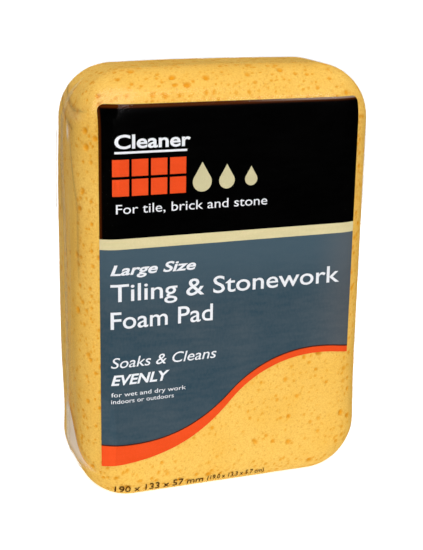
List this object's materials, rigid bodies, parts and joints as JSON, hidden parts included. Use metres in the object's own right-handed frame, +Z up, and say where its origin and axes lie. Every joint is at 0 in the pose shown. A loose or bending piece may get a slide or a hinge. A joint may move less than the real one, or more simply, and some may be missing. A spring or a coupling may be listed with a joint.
{
  "type": "grouting sponge in printed overwrap",
  "caption": "Rounded rectangular foam sponge for grout and concrete work, sealed tight in clear shrink film with a printed front panel.",
  "frame": {"origin": "middle of the overall box at the floor, where the short end stands", "axes": "+X to the right across the printed face, +Y from the printed face to the back, +Z up the long side"},
  "size_m": [0.1344, 0.0578, 0.1908],
  "materials": {
    "foam": "matte open-cell foam, yellow with darker pores",
    "film": "clear glossy shrink film",
    "seal": "clear film, doubled and melted",
    "black_ink": "glossy black print",
    "pale_ink": "glossy pale olive print",
    "slate_ink": "glossy slate blue print",
    "orange_ink": "glossy orange-red print",
    "white_ink": "glossy white print",
    "brown_ink": "dark brown print"
  },
  "bodies": {
    "root": {"sponge_block": "foam", "film_wrap": "film", "left_end_seal": "seal", "right_end_seal": "seal", "back_lap_seam": "seal", "header_panel": "black_ink", "pale_rule": "pale_ink", "slate_panel": "slate_ink", "orange_band": "orange_ink", "tile_mark": "orange_ink", "drop_marks": "pale_ink", "white_lettering": "white_ink", "size_line": "brown_ink"}
  },
  "joints": []
}
